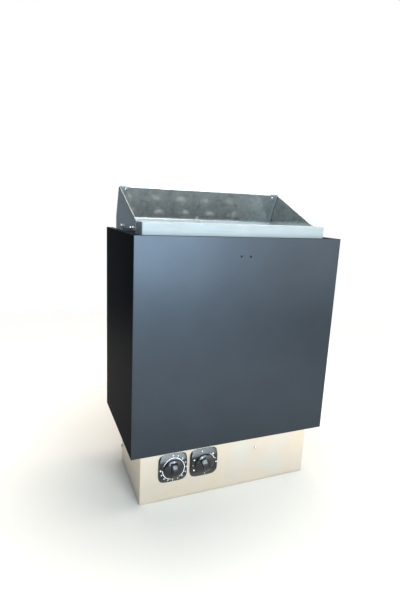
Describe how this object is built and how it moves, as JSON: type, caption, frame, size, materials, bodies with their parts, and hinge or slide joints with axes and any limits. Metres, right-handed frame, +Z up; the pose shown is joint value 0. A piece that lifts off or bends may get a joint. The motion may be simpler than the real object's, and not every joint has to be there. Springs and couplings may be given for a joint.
{
  "type": "sauna heater stove",
  "caption": "Electric sauna heater: painted jacket round an open stone chamber with a leaning hood, on a steel base with rotary timer and thermostat.",
  "frame": {"origin": "on the floor under the middle of the overall width and depth", "axes": "+Z up, +Y to the rear towards the wall, +X to the right as seen from the front"},
  "size_m": [0.4, 0.238, 0.5815],
  "materials": {
    "painted_jacket": "satin dark powder coat",
    "galvanised_sheet": "galvanised, semi-gloss",
    "base_steel": "plain bright sheet",
    "fastener_steel": "bright",
    "element_steel": "dull heat-resisting tube",
    "brass": "plain",
    "black_plastic": "gloss black",
    "ceramic": "unglazed",
    "grey_plastic": "matte",
    "red_plastic": "matte"
  },
  "bodies": {
    "stove": {"base_bottom_cover": "base_steel", "base_front_rivet": "fastener_steel", "base_housing": "base_steel", "base_rear_panel": "base_steel", "base_side_screw_left": "fastener_steel", "base_side_screw_right": "fastener_steel", "cable_gland": "grey_plastic", "chamber_front_wall": "galvanised_sheet", "chamber_left_wall": "galvanised_sheet", "chamber_rear_wall": "galvanised_sheet", "chamber_right_wall": "galvanised_sheet", "cover_screw_left_front": "fastener_steel", "cover_screw_left_rear": "fastener_steel", "cover_screw_right_front": "fastener_steel", "cover_screw_right_rear": "fastener_steel", "element_gland_front_left": "brass", "element_gland_front_right": "brass", "element_gland_middle_left": "brass", "element_gland_middle_right": "brass", "element_gland_rear_left": "brass", "element_gland_rear_right": "brass", "element_plate": "galvanised_sheet", "front_rail": "galvanised_sheet", "gland_locknut": "grey_plastic", "heating_element_front": "element_steel", "heating_element_middle": "element_steel", "heating_element_rear": "element_steel", "hood_back_panel": "galvanised_sheet", "hood_corner_rivet_left": "fastener_steel", "hood_corner_rivet_right": "fastener_steel", "hood_left_panel": "galvanised_sheet", "hood_right_panel": "galvanised_sheet", "hood_rivet_left_front": "fastener_steel", "hood_rivet_left_rear": "fastener_steel", "hood_rivet_right_front": "fastener_steel", "hood_rivet_right_rear": "fastener_steel", "jacket_angle_left": "galvanised_sheet", "jacket_angle_right": "galvanised_sheet", "jacket_front_stay": "galvanised_sheet", "jacket_screw_left_lower": "fastener_steel", "jacket_screw_left_upper": "fastener_steel", "jacket_screw_right_lower": "fastener_steel", "jacket_screw_right_upper": "fastener_steel", "limiter_body": "ceramic", "outer_jacket": "painted_jacket", "sensor_clip": "galvanised_sheet", "stone_grate": "galvanised_sheet", "terminal_block": "ceramic", "thermostat_body": "grey_plastic", "thermostat_capillary": "element_steel", "thermostat_plate": "black_plastic", "timer_body": "grey_plastic", "timer_plate": "black_plastic", "wall_hanger": "galvanised_sheet"},
    "timer_control": {"timer_knob": "black_plastic", "timer_shaft": "fastener_steel"},
    "thermostat_control": {"thermostat_knob": "black_plastic", "thermostat_shaft": "fastener_steel"},
    "reset_plunger": {"reset_button": "red_plastic"}
  },
  "joints": [
    {"name": "timer_turn", "type": "hinge", "parent": "stove", "child": "timer_control", "pos_m": [-0.1155, -0.109, 0.067], "axis": [0, 1, 0], "range_deg": [0, 270]},
    {"name": "thermostat_turn", "type": "hinge", "parent": "stove", "child": "thermostat_control", "pos_m": [-0.053, -0.109, 0.067], "axis": [0, 1, 0], "range_deg": [-160, 120]},
    {"name": "reset_press", "type": "slide", "parent": "stove", "child": "reset_plunger", "axis": [-1, 0, 0], "range_m": [0, 0.002], "stiffness_N_per_m": 400}
  ]
}
